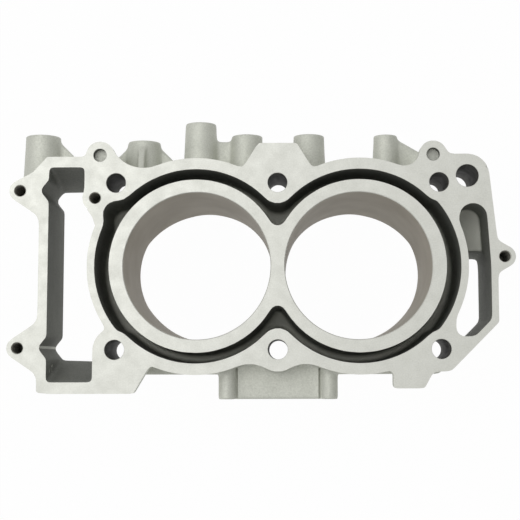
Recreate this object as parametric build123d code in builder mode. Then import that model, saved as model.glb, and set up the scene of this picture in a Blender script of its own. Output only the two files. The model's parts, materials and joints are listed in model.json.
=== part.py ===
from build123d import *
import os
from dataclasses import dataclass
from math import acos, atan2, cos, hypot, sin, sqrt

# Cylinder block of a liquid-cooled two-cylinder engine, cast in aluminium as one
# piece: two plated bores in an open-deck water jacket, a chain tunnel at the -X
# end, an oil gallery at the +X end and six through bolts.
# The origin is on the deck face, midway between the bores. X runs along the bore
# row, Z points up out of the deck. All sizes are in millimetres.

# Bores and sleeves
bore_radius = 46.5
bore_pitch = 102.0
bore_chamfer = 0.7
skirt_length = 58.0
skirt_wall = 3.5
skirt_chamfer = 1.0
crank_slot_rise = 26.0
crank_slot_half_width = 21.5
crank_slot_flank_run = 23.5
crank_slot_radius = 6.0

# Block heights
deck_to_base = 50.0
deck_flange = 9.0
deck_tolerance = 0.01
base_flange = 9.0

# Water jacket
barrel_wall = 8.2
barrel_shift = 0.8
jacket_gap = 6.8
jacket_end_extra = 2.4
jacket_wall = 7.1
jacket_depth = 42.0
jacket_draft = 1.5
jacket_floor_chamfer = 2.0
jacket_valley_radius = 5.5
jacket_corner_radius = 4.5
pocket_reach = 8.3
pocket_corner_radius = 9.0
jacket_mark_y = 35.5
jacket_mark_radius = 2.6
jacket_mark_depth = 0.8

# Through bolts, measured from the bore walls
bolt_hole_radius = 6.2
bolt_beyond_bore_x = 4.9
bolt_beyond_bore_y = 6.25
corner_boss_radius = 11.3
middle_boss_radius = 10.5
bolt_column_wall = 6.5
middle_lobe_radius = 13.9
middle_lobe_blend = 20.0

# Chain tunnel
tunnel_width = 24.6
tunnel_above_bolt = 10.55
tunnel_below_bolt = 20.95
tunnel_up_slope = 9.4
tunnel_down_slope = 14.6
tunnel_side_wall = 5.9
tunnel_end_wall = 6.4
tunnel_corner_radius = 2.2
tunnel_up_right_from_bolt = 20.0
tunnel_inner_radius = 2.5
guide_notch_depth = 4.8
guide_notch_half_width = 7.0
guide_notch_radius = 3.0
guide_notch_wall = 4.5
guide_notch_up_y = 48.0
guide_notch_down_y = -51.4
chain_boss_radius = 8.2
chain_side_boss_radius = 13.7

# Case around the chain tunnel
case_corner_radius = 8.5
case_foot_reach = 30.1
case_foot_slant_run = 9.4
case_shoulder_run = 4.6
case_shoulder_rise = 10.2

# Oil gallery
gallery_width = 14.0
gallery_up = 39.2
gallery_overlap = 3.2
gallery_down = 45.0
gallery_wall = 4.3
gallery_end_radius = 8.9
gallery_lean = 1.9
gallery_foot_slant = 10.9
gallery_corner_radius = 5.5
gallery_slant_start = 36.1
gallery_slant_radius = 7.0
gallery_foot_drop = -1.8
gallery_floor_depth = 27.0
gallery_floor_end_y = 11.0
gallery_floor_slope = 3.4

# Oil passage beside the gallery
passage_radius = 7.2
passage_from_bolt_x = 17.9
passage_from_bolt_y = 4.05
passage_wall = 6.9

# Foot block under the oil gallery end
foot_block_from_bolt = 11.0
foot_block_width = 19.3
foot_block_slant = 5.8
foot_block_depth = 10.4

# Locating recesses in the deck
recess_radius = 4.15
recess_depth = 5.0
recess_lobe_radius = 8.9
recess_left_from_bolt = 10.4
recess_right_from_bolt = -3.5
recess_above_bolt = 17.85

# Tapped holes in the deck
tapped_radius = 3.5
tapped_depth = 24.0
lug_radius = 6.85
lug_depth = 27.0
chain_screw_from_bolt_x = 13.2
chain_screw_from_bolt_y = 9.65
lug_left_reach = 12.3
lug_up_y = 47.9
lug_down_y = -51.6
lug_right_reach = 4.5
lug_right_y = 5.2
lug_foot_spread = 16.5
lug_right_foot_spread = 10.4

# Outline between the bosses
tab_above_bolt = 25.45
tab_top_half_width = 12.2
tab_foot_half_width = 24.6
tab_foot_drop = 4.93
tab_root_radius = 3.0
recess_flank_run = 2.4
lug_root_radius = 8.0
left_relief_radius = 22.0
right_relief_radius = 9.5
outline_inner_radius = 4.5
outline_joint_radius = 2.0
outline_edge_radius = 2.0

# Round bosses that point to +Y
boss_axis_depth = 30.0
boss_draft = 2.5
boss_reach = 88.0
boss_reach_short = 84.0
boss_reach_long = 96.2
case_boss_from_case = 4.7
case_boss_radius = 11.4
ridge_boss_from_bolt = 13.9
ridge_boss_radius = 10.8
ridge_width = 4.6
ridge_height = 2.6
centre_boss_radius = 10.2
pair_boss_x = 20.4
end_boss_from_bolt = 31.3
end_boss_radius = 7.8
boss_hole_radius = 4.2
end_boss_hole_radius = 3.4
boss_hole_depth = 20.0
web_thickness = 5.0
web_setback = 3.4
end_web_setback = 2.4

# Pad that faces -Y
pad_half_width = 38.0
pad_reach = 84.0
pad_top = 9.4
pad_height = 35.0
pad_lug_radius = 5.6
pad_side_recess = 1.8
pad_top_recess = 4.6
pad_hole_radius = 3.4
pad_hole_depth = 16.0
inlet_half_width = 24.0
inlet_height = 19.0
inlet_depth = 9.0
inlet_corner_radius = 5.0
port_radius = 6.5
port_x = 21.0
port_overlap = 2.7

# Base flange
base_half_depth = 68.8
base_bolt_wall = 7.0
base_corner_radius = 6.0

# Sizes that follow from the ones above
bore_x = bore_pitch / 2
barrel_x = bore_x + barrel_shift
barrel_radius = bore_radius + barrel_wall
jacket_radius = barrel_radius + jacket_gap
wall_radius = jacket_radius + jacket_wall
bolt_x = bore_x + bore_radius + bolt_beyond_bore_x
bolt_y = bore_radius + bolt_beyond_bore_y
wall_end = barrel_x + wall_radius
tunnel_up = bolt_y + tunnel_above_bolt
tunnel_down = bolt_y + tunnel_below_bolt
tunnel_up_right_x = bolt_x + tunnel_up_right_from_bolt
tunnel_side_right_x = bolt_x + chain_side_boss_radius
tunnel_left = -(wall_end + tunnel_width)
case_left = tunnel_left - tunnel_side_wall
case_top = tunnel_up + tunnel_end_wall
case_bottom = -(tunnel_down + tunnel_end_wall)
gallery_right = wall_end + gallery_width
gallery_end_x = gallery_right - gallery_lean - gallery_end_radius
gallery_end_y = gallery_up - gallery_end_radius
case_right = gallery_right + gallery_wall
passage_x = bolt_x + passage_from_bolt_x
passage_y = bolt_y + passage_from_bolt_y
foot_block_right = bolt_x - foot_block_from_bolt
foot_block_left = foot_block_right - foot_block_width
recess_left_x = -(bolt_x + recess_left_from_bolt)
recess_right_x = bolt_x + recess_right_from_bolt
recess_y = bolt_y + recess_above_bolt
chain_screw_x = -(bolt_x + chain_screw_from_bolt_x)
chain_screw_y = bolt_y - chain_screw_from_bolt_y
tab_top = bolt_y + tab_above_bolt
case_boss_x = case_left - case_boss_from_case
ridge_boss_x = -bolt_x + ridge_boss_from_bolt
end_boss_x = bolt_x - end_boss_from_bolt
foot_line = -(wall_radius + gallery_foot_drop)
slant_top = (case_right, -gallery_slant_start)
slant_foot = (case_right + foot_line + gallery_slant_start, foot_line)
overall_height = deck_to_base + skirt_length
base_plane = Plane.XY.offset(-deck_to_base)
corner_bolts = [(sx * bolt_x, sy * bolt_y) for sx in (-1, 1) for sy in (-1, 1)]
middle_bolts = [(0, bolt_y), (0, -bolt_y)]
tab_foot_y = sqrt(wall_radius**2 - (barrel_x - tab_foot_half_width) ** 2) - tab_foot_drop
lug_left_x = case_left - lug_left_reach
lug_right_x = case_right + lug_right_reach
guide_notch_x = tunnel_left - guide_notch_depth + guide_notch_radius
guide_notches = [(guide_notch_x, guide_notch_up_y), (guide_notch_x, guide_notch_down_y)]
tapped_spots = [
    (chain_screw_x, chain_screw_y),
    (lug_left_x, lug_up_y),
    (lug_left_x, lug_down_y),
    (lug_right_x, lug_right_y),
]
recess_spots = [(recess_left_x, recess_y), (recess_right_x, recess_y)]
base_upper_edge = bolt_y + bolt_hole_radius + base_bolt_wall
pad_middle = -pad_top - pad_height / 2
pad_plane = Plane((0, -pad_reach, pad_middle), x_dir=(1, 0, 0), z_dir=(0, -1, 0))
pad_screws = [
    (sx * (pad_half_width - pad_lug_radius), sy * (pad_height / 2 - pad_lug_radius))
    for sx in (-1, 1)
    for sy in (-1, 1)
]
web_plane = Plane.XY.offset(-boss_axis_depth + web_thickness / 2)
ridge_start_y = boss_reach_short - web_setback
ridge_boss_top = -boss_axis_depth + ridge_boss_radius


@dataclass(frozen=True)
class Boss:
    """A round boss that points to +Y from the side of the block."""

    x: float
    radius: float
    reach: float
    hole_radius: float

    def plane(self):
        """Plane of the end face, looking out along +Y."""
        return Plane((self.x, self.reach, -boss_axis_depth), x_dir=(-1, 0, 0), z_dir=(0, 1, 0))

    def web(self, side, foot_y):
        """Corners of a slanted web from the side of the boss down to the wall."""
        start_y = self.reach - web_setback
        edge_x = self.x + side * self.radius
        return (
            (self.x, foot_y),
            (self.x, start_y),
            (edge_x, start_y),
            (edge_x + side * (start_y - foot_y), foot_y),
        )


case_boss = Boss(case_boss_x, case_boss_radius, boss_reach, boss_hole_radius)
ridge_boss = Boss(ridge_boss_x, ridge_boss_radius, boss_reach_short, boss_hole_radius)
centre_boss = Boss(-bore_x, centre_boss_radius, boss_reach_long, boss_hole_radius)
left_pair_boss = Boss(-pair_boss_x, centre_boss_radius, boss_reach, boss_hole_radius)
right_pair_boss = Boss(pair_boss_x, centre_boss_radius, boss_reach, boss_hole_radius)
end_boss = Boss(end_boss_x, end_boss_radius, boss_reach, end_boss_hole_radius)
bosses = [case_boss, ridge_boss, centre_boss, left_pair_boss, right_pair_boss, end_boss]
webs = [
    case_boss.web(1, bolt_y),
    ridge_boss.web(-1, bolt_y),
    ridge_boss.web(1, bolt_y),
    (
        (-bore_x, bolt_y),
        (-bore_x, boss_reach - web_setback),
        (-pair_boss_x, boss_reach - web_setback),
        (-pair_boss_x, bolt_y),
    ),
    (
        (end_boss_x, bolt_y),
        (end_boss_x, boss_reach - end_web_setback),
        (end_boss_x + end_boss_radius, boss_reach - end_web_setback),
        (recess_right_x, recess_y + lug_radius / 2),
        (recess_right_x, bolt_y),
    ),
]


def touch_point(centre, radius, foot, other_foot):
    """Point where a straight flank from the foot touches the round end of a lug."""
    reach = hypot(foot[0] - centre[0], foot[1] - centre[1])
    away = atan2(foot[1] - centre[1], foot[0] - centre[0])
    swing = acos(min(1.0, radius / reach))
    touches = [
        (centre[0] + radius * cos(away + turn), centre[1] + radius * sin(away + turn))
        for turn in (-swing, swing)
    ]
    return max(touches, key=lambda p: hypot(p[0] - other_foot[0], p[1] - other_foot[1]))


def add_lug(centre, radius, first_foot, last_foot):
    """Add a round lug to the sketch, its flanks running straight to two feet."""
    with Locations(centre):
        Circle(radius)
    first_touch = touch_point(centre, radius, first_foot, last_foot)
    last_touch = touch_point(centre, radius, last_foot, first_foot)
    Polygon(centre, first_touch, first_foot, last_foot, last_touch, align=None)


def round_inside_corners(radius):
    """Round every corner of the sketch that points into the metal."""
    offset(amount=radius, kind=Kind.ARC)
    offset(amount=-radius, kind=Kind.ARC)


def round_outside_corners(radius):
    """Round every corner of the sketch that points out of the metal."""
    offset(amount=-radius, kind=Kind.ARC)
    offset(amount=radius, kind=Kind.ARC)


def add_jacket_wall(centre_x):
    """Add the disc that a round jacket wall fills to the sketch."""
    with Locations((centre_x, 0)):
        Circle(wall_radius)


def is_bore_rim(edge):
    """Whether an edge is a circle of the size of the bores."""
    return edge.geom_type == GeomType.CIRCLE and abs(edge.radius - bore_radius) < deck_tolerance


# Outline of the chain case at the deck
with BuildSketch() as case_outline:
    Polygon(
        (case_left, case_bottom),
        (-wall_end + case_foot_reach, case_bottom),
        (-wall_end + case_foot_reach + case_foot_slant_run, -bolt_y - corner_boss_radius),
        (-barrel_x, 0),
        (-bolt_x, bolt_y + corner_boss_radius),
        (recess_left_x, case_top),
        (case_left + case_shoulder_run, case_top),
        (case_left - case_shoulder_run, case_top - case_shoulder_rise),
        (case_left, lug_up_y - lug_foot_spread),
        align=None,
    )
    with Locations((case_left, case_bottom)):
        Rectangle(case_corner_radius, case_corner_radius, mode=Mode.SUBTRACT, align=Align.MIN)
    with Locations((case_left + case_corner_radius, case_bottom + case_corner_radius)):
        Circle(case_corner_radius)
    add_lug(
        (lug_left_x, lug_up_y),
        lug_radius,
        (case_left, lug_up_y - lug_foot_spread),
        (case_left - case_shoulder_run, case_top - case_shoulder_rise),
    )
    add_lug(
        (lug_left_x, lug_down_y),
        lug_radius,
        (case_left, lug_down_y - lug_foot_spread),
        (case_left, lug_down_y + lug_foot_spread),
    )
    round_inside_corners(lug_root_radius)

# Locating lobe of the chain case with its sweep into the jacket wall
with BuildSketch() as left_recess_outline:
    add_jacket_wall(-barrel_x)
    with Locations((recess_left_x, recess_y)):
        Circle(recess_lobe_radius)
    Polygon(
        (recess_left_x, recess_y),
        (recess_left_x + recess_lobe_radius, recess_y),
        (recess_left_x + recess_lobe_radius + recess_flank_run, recess_y - recess_flank_run),
        (-barrel_x, 0),
        (-wall_end, bolt_y),
        align=None,
    )
    round_inside_corners(left_relief_radius)

# Outline of the gallery end at the deck
with BuildSketch() as gallery_outline:
    Polygon(
        (barrel_x, 0),
        (recess_right_x - recess_lobe_radius, bolt_y),
        (recess_right_x, recess_y),
        (passage_x, passage_y + passage_radius + passage_wall),
        (passage_x + passage_radius + passage_wall, passage_y),
        (case_right, lug_right_y + lug_right_foot_spread),
        slant_top,
        slant_foot,
        (foot_block_right + foot_block_slant, foot_line),
        (foot_block_right, foot_line - foot_block_depth),
        (foot_block_left, foot_line - foot_block_depth),
        (foot_block_left, -bolt_y),
        align=None,
    )
    for corner in (slant_top, slant_foot):
        fillet(gallery_outline.vertices().sort_by_distance(corner)[0], radius=gallery_slant_radius)
    with Locations((recess_right_x, recess_y)):
        Circle(recess_lobe_radius)
    with Locations((passage_x, passage_y)):
        Circle(passage_radius + passage_wall)
    add_lug(
        (lug_right_x, lug_right_y),
        lug_radius,
        (case_right, lug_right_y + lug_right_foot_spread),
        (case_right, lug_right_y - lug_right_foot_spread),
    )
    round_inside_corners(outline_inner_radius)

# Locating lobe of the gallery end with its sweep into the jacket wall
with BuildSketch() as right_recess_outline:
    add_jacket_wall(barrel_x)
    with Locations((recess_right_x, recess_y)):
        Circle(recess_lobe_radius)
    Polygon((barrel_x, 0), (bolt_x, bolt_y), (recess_right_x, recess_y), align=None)
    round_inside_corners(right_relief_radius)

# Jacket walls with the lobe of the middle bolt on the pad side
with BuildSketch() as middle_lobe_outline:
    add_jacket_wall(-barrel_x)
    add_jacket_wall(barrel_x)
    with Locations((0, -bolt_y)):
        Circle(middle_lobe_radius)
    round_inside_corners(middle_lobe_blend)

# Jacket walls with the straight tab of the middle bolt on the boss side
with BuildSketch() as tab_outline:
    add_jacket_wall(-barrel_x)
    add_jacket_wall(barrel_x)
    Polygon(
        (-tab_foot_half_width, tab_foot_y),
        (-tab_top_half_width, tab_top),
        (tab_top_half_width, tab_top),
        (tab_foot_half_width, tab_foot_y),
        (0, bolt_y - middle_boss_radius),
        align=None,
    )
    round_inside_corners(tab_root_radius)

with BuildSketch() as deck_outline:
    add(case_outline.sketch)
    add(left_recess_outline.sketch)
    add(gallery_outline.sketch)
    add(right_recess_outline.sketch)
    add(middle_lobe_outline.sketch)
    add(tab_outline.sketch)
    round_inside_corners(outline_joint_radius)
    round_outside_corners(outline_edge_radius)

# Pocket of the jacket beside the upper bolt at the chain end
pocket_corner = (-bolt_x - pocket_reach, bolt_y - corner_boss_radius)
with BuildSketch() as pocket_outline:
    Polygon(
        (-barrel_x, 0),
        (-bolt_x - pocket_reach, bolt_y - 2 * corner_boss_radius),
        pocket_corner,
        (-barrel_x, bolt_y - corner_boss_radius),
        align=None,
    )
    fillet(pocket_outline.vertices().sort_by_distance(pocket_corner)[0], radius=pocket_corner_radius)

# Outer edge of the water jacket: round, wider at the ends of the block, drawn in
# between the bores and round the corner bolts
with BuildSketch() as jacket_outline:
    for side in (-1, 1):
        with BuildSketch(mode=Mode.PRIVATE) as jacket_end:
            with Locations((side * barrel_x, 0)):
                Circle(jacket_radius + jacket_end_extra)
                Rectangle(
                    wall_end,
                    2 * (bolt_y - corner_boss_radius),
                    align=(Align.MIN if side > 0 else Align.MAX, Align.CENTER),
                    mode=Mode.INTERSECT,
                )
                Circle(jacket_radius)
            if side < 0:
                add(pocket_outline.sketch)
            with Locations(*corner_bolts):
                Circle(corner_boss_radius, mode=Mode.SUBTRACT)
            round_outside_corners(jacket_corner_radius)
        add(jacket_end.sketch)
    Rectangle(2 * barrel_x, bolt_y)
    round_inside_corners(middle_boss_radius)

# The two barrels stand joined in the middle
with BuildSketch() as barrel_outline:
    with Locations((-barrel_x, 0), (barrel_x, 0)):
        Circle(barrel_radius)
    Rectangle(2 * barrel_x, 4 * jacket_valley_radius)
    round_inside_corners(jacket_valley_radius)

# Opening of the chain tunnel at the deck
with BuildSketch() as tunnel_outline:
    Polygon(
        (tunnel_left, -tunnel_down),
        (-tunnel_side_right_x, -tunnel_down),
        (-tunnel_side_right_x, -bolt_y),
        (-barrel_x, 0),
        (-tunnel_up_right_x, chain_screw_y),
        (-tunnel_up_right_x, tunnel_up),
        (tunnel_left, tunnel_up),
        align=None,
    )
    for notch in guide_notches:
        add_lug(
            notch,
            guide_notch_radius,
            (tunnel_left, notch[1] - guide_notch_half_width),
            (tunnel_left, notch[1] + guide_notch_half_width),
        )
    with Locations((-barrel_x, 0)):
        Circle(wall_radius, mode=Mode.SUBTRACT)
    with Locations((chain_screw_x, chain_screw_y)):
        Circle(chain_boss_radius, mode=Mode.SUBTRACT)
    with Locations((-bolt_x, -bolt_y)):
        Circle(chain_side_boss_radius, mode=Mode.SUBTRACT)
    round_outside_corners(tunnel_corner_radius)
    round_inside_corners(tunnel_inner_radius)

# Opening of the oil gallery at the deck
with BuildSketch() as gallery_opening:
    with Locations((gallery_end_x, gallery_end_y)):
        Circle(gallery_end_radius)
    Polygon(
        (gallery_end_x + gallery_end_radius, gallery_end_y),
        (gallery_right, 0),
        (gallery_right, -gallery_down + gallery_foot_slant),
        (gallery_right - gallery_foot_slant, -gallery_down),
        (gallery_end_x - gallery_end_radius - gallery_overlap, -gallery_down),
        (gallery_end_x - gallery_end_radius, gallery_end_y),
        align=None,
    )
    with Locations((barrel_x, 0)):
        Circle(wall_radius, mode=Mode.SUBTRACT)
    round_outside_corners(gallery_corner_radius)

# Outline of the walls between the two flanges, without the chain case
with BuildSketch() as walls_outline:
    add_jacket_wall(-barrel_x)
    add_jacket_wall(barrel_x)
    with Locations(*corner_bolts):
        Circle(bolt_hole_radius + bolt_column_wall)
    with Locations(*middle_bolts):
        Circle(middle_lobe_radius)
    with Locations((passage_x, passage_y)):
        Circle(passage_radius + passage_wall)
    Polygon(
        (barrel_x, 0),
        (bolt_x, bolt_y),
        (passage_x + passage_radius + passage_wall, passage_y),
        (case_right, lug_right_y + lug_right_foot_spread),
        slant_top,
        (bolt_x, -bolt_y - bolt_hole_radius - bolt_column_wall),
        align=None,
    )
    round_inside_corners(outline_joint_radius)

# Outline of the base flange
with BuildSketch() as base_outline:
    Polygon(
        (case_left, -base_half_depth),
        (case_right - base_half_depth + gallery_slant_start, -base_half_depth),
        slant_top,
        (case_right, lug_right_y + lug_right_foot_spread),
        (passage_x + passage_radius + passage_wall, passage_y),
        (bolt_x, base_upper_edge),
        (case_left, base_upper_edge),
        align=None,
    )
    add_jacket_wall(-barrel_x)
    add_jacket_wall(barrel_x)
    with Locations((passage_x, passage_y)):
        Circle(passage_radius + passage_wall)
    round_outside_corners(base_corner_radius)

# Sleeves below the base, cut across by the channel that clears the crank webs
with BuildPart() as skirts:
    with BuildSketch(base_plane):
        with Locations((-bore_x, 0), (bore_x, 0)):
            Circle(bore_radius + skirt_wall)
    extrude(amount=-skirt_length)
    chamfer(skirts.faces().sort_by(Axis.Z)[0].edges(), length=skirt_chamfer)
    with BuildSketch(Plane.YZ.offset(-wall_end)) as crank_channel:
        Polygon(
            (crank_slot_half_width, crank_slot_rise - overall_height),
            (crank_slot_half_width + crank_slot_flank_run, -overall_height),
            (crank_slot_half_width + crank_slot_flank_run, -overall_height - skirt_length),
            (-crank_slot_half_width - crank_slot_flank_run, -overall_height - skirt_length),
            (-crank_slot_half_width - crank_slot_flank_run, -overall_height),
            (-crank_slot_half_width, crank_slot_rise - overall_height),
            align=None,
        )
        fillet(crank_channel.vertices().group_by(Axis.Z)[-1], radius=crank_slot_radius)
    extrude(amount=2 * wall_end, mode=Mode.SUBTRACT)

# Walls of the chain case: they bulge round the guide notches, and its ends lean in
# towards the base
with BuildPart() as chain_case:
    with BuildSketch():
        Polygon(
            (case_left, case_bottom),
            (-tunnel_side_right_x + tunnel_side_wall, case_bottom),
            (-barrel_x, 0),
            (-tunnel_up_right_x + tunnel_end_wall, case_top),
            (case_left, case_top),
            align=None,
        )
        with Locations(*guide_notches):
            Circle(guide_notch_radius + guide_notch_wall)
        round_inside_corners(outline_inner_radius)
    extrude(amount=-deck_to_base)
    with BuildSketch(Plane.YZ.offset(-2 * wall_end)):
        Polygon(
            (case_bottom, 0),
            (case_bottom + tunnel_down_slope, -deck_to_base),
            (case_top - tunnel_up_slope, -deck_to_base),
            (case_top, 0),
            align=None,
        )
    extrude(amount=2 * wall_end, mode=Mode.INTERSECT)

# Space inside the chain case
with BuildPart() as tunnel_core:
    add(tunnel_outline.sketch)
    extrude(amount=-deck_to_base)
    with BuildSketch(Plane.YZ.offset(-2 * wall_end)):
        Polygon(
            (-tunnel_down, 0),
            (-tunnel_down + tunnel_down_slope, -deck_to_base),
            (tunnel_up - tunnel_up_slope, -deck_to_base),
            (tunnel_up, 0),
            align=None,
        )
    extrude(amount=2 * wall_end, mode=Mode.INTERSECT)

# Space of the water jacket, with sloped edges along its floor
with BuildPart() as jacket_core:
    add(jacket_outline.sketch)
    extrude(amount=-jacket_depth)
    with BuildSketch():
        add(barrel_outline.sketch)
    extrude(amount=-jacket_depth, taper=-jacket_draft, mode=Mode.SUBTRACT)
    chamfer(jacket_core.edges().group_by(Axis.Z)[0], length=jacket_floor_chamfer)

# Space of the oil gallery: a deep slot with a raised floor at its +Y end
with BuildPart() as gallery_core:
    add(gallery_opening.sketch)
    extrude(amount=-deck_to_base)
    with BuildSketch(Plane.YZ.offset(bolt_x)):
        Polygon(
            (gallery_floor_end_y, -gallery_floor_depth),
            (gallery_floor_end_y - gallery_floor_slope, -deck_to_base),
            (gallery_up + gallery_end_radius, -deck_to_base),
            (gallery_up + gallery_end_radius, -gallery_floor_depth),
            align=None,
        )
    extrude(amount=wall_end, mode=Mode.SUBTRACT)

# The casting
with BuildPart() as cylinder_block:
    add(deck_outline.sketch)
    extrude(amount=-deck_flange)
    with BuildSketch():
        add(walls_outline.sketch)
    extrude(amount=-deck_to_base)
    with BuildSketch(base_plane):
        add(base_outline.sketch)
    extrude(amount=base_flange)
    add(chain_case.part)
    add(skirts.part)

    # Round bosses with screw holes, on the +Y side
    for boss in bosses:
        with BuildSketch(boss.plane()):
            Circle(boss.radius)
        extrude(amount=bolt_y - boss.reach, taper=-boss_draft)
    with BuildSketch(Plane.YZ.offset(ridge_boss_x - ridge_width / 2)):
        Polygon(
            (bolt_y, -boss_axis_depth),
            (ridge_start_y, -boss_axis_depth),
            (ridge_start_y, ridge_boss_top),
            (ridge_start_y - web_setback, ridge_boss_top + ridge_height),
            (bolt_y + bolt_hole_radius, -deck_flange),
            (bolt_y, -deck_flange),
            align=None,
        )
    extrude(amount=ridge_width)
    for web in webs:
        with BuildSketch(web_plane):
            Polygon(*web, align=None)
        extrude(amount=-web_thickness)

    # Pad with screw lugs in its corners, on the -Y side
    with BuildSketch(pad_plane):
        Rectangle(2 * (pad_half_width - pad_side_recess), pad_height - 2 * pad_top_recess)
        with Locations(*pad_screws):
            Circle(pad_lug_radius)
    extrude(amount=bolt_y - pad_reach)

    # Lugs under the tapped holes and the locating recesses
    for spot in (*tapped_spots[1:], *recess_spots):
        with BuildSketch(Plane.XY):
            with Locations(spot):
                Circle(lug_radius)
        extrude(amount=-lug_depth)

    add(jacket_core.part, mode=Mode.SUBTRACT)
    add(tunnel_core.part, mode=Mode.SUBTRACT)
    add(gallery_core.part, mode=Mode.SUBTRACT)

    with Locations((-bore_x, 0), (bore_x, 0)):
        Hole(bore_radius)
    with Locations(*corner_bolts, *middle_bolts):
        Hole(bolt_hole_radius)
    with Locations((passage_x, passage_y)):
        Hole(passage_radius)
    with Locations(*tapped_spots):
        Hole(tapped_radius, depth=tapped_depth)
    with Locations(*recess_spots):
        Hole(recess_radius, depth=recess_depth)
    with Locations((0, -jacket_mark_y, -jacket_depth)):
        Hole(jacket_mark_radius, depth=jacket_mark_depth)
    for boss in bosses:
        with Locations(boss.plane()):
            Hole(boss.hole_radius, depth=boss_hole_depth)
    with Locations(*[pad_plane * Pos(x, y) for x, y in pad_screws]):
        Hole(pad_hole_radius, depth=pad_hole_depth)

    # Coolant inlet: a chamber in the face of the pad with two ports to the jacket
    with BuildSketch(pad_plane):
        RectangleRounded(2 * inlet_half_width, inlet_height, inlet_corner_radius)
    extrude(amount=-inlet_depth, mode=Mode.SUBTRACT)
    with Locations(*[pad_plane * Pos(side * port_x, 0) for side in (-1, 1)]):
        Hole(port_radius, depth=pad_reach - barrel_radius + port_overlap)

    # Edge breaks round the bores, in the deck face
    deck_edges = cylinder_block.edges().filter_by_position(Axis.Z, -deck_tolerance, deck_tolerance)
    chamfer(deck_edges.filter_by(is_bore_rim), length=bore_chamfer)

cylinder_block.part.label = "cylinder_block"
os.makedirs("parts", exist_ok=True)
export_step(cylinder_block.part, "parts/cylinder_block.step")
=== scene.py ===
"""Looks of a two-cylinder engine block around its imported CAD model.

The block is made here as a foundry and a machine shop make it. The CAD model
is the pattern: it gets machining allowance and loses its holes, and a level
set rounds its inside corners and edges as sand does. The machined faces, the
sleeves and every hole are then cut to their nominal sizes.
"""

import json
import logging
import math
from collections.abc import Iterable
from dataclasses import dataclass, field
from enum import IntEnum

import bmesh
import bpy
import numpy as np
import openvdb
from mathutils import Matrix, Vector


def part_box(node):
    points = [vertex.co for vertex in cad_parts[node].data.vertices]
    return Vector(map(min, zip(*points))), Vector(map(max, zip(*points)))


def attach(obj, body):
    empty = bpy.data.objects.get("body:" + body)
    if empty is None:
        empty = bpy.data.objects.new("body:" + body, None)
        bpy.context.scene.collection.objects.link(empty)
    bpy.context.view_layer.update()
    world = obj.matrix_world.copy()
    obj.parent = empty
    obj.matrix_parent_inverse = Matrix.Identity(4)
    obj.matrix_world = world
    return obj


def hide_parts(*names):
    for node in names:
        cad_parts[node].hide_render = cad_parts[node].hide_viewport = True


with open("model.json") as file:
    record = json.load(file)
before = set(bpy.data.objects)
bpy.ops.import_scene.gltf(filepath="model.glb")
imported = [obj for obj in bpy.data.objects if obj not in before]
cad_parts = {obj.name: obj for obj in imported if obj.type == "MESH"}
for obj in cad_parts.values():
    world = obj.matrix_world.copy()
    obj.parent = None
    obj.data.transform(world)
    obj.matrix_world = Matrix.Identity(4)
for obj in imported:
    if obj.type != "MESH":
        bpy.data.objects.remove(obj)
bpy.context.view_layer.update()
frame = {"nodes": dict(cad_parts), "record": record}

MM = 0.001
NODE = "cylinder_block"
BODY = "root"
UP = Vector((0, 0, 1))

# Radians that a wave texture of scale 1 turns in a metre.
WAVE_TURN = 20.0

# Height of an equilateral triangle whose corners lie on a circle of radius 1.
TOOTH_HEIGHT = 1.5

Colour = tuple[float, float, float]
Spot = tuple[float, float]
log = logging.getLogger("engine_block")


class Finish(IntEnum):
    """Finishes of the block, in the order of its material slots."""

    CAST = 0
    # Darker skin of the passages: partly its own tone, partly painted shade.
    CORED_AND_SHADED = 1
    MILLED = 2
    PLATED = 3
    # Hole walls, painted near black as the shade in deep holes.
    DRILLED_SHADED = 4
    THREADED = 5


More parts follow.
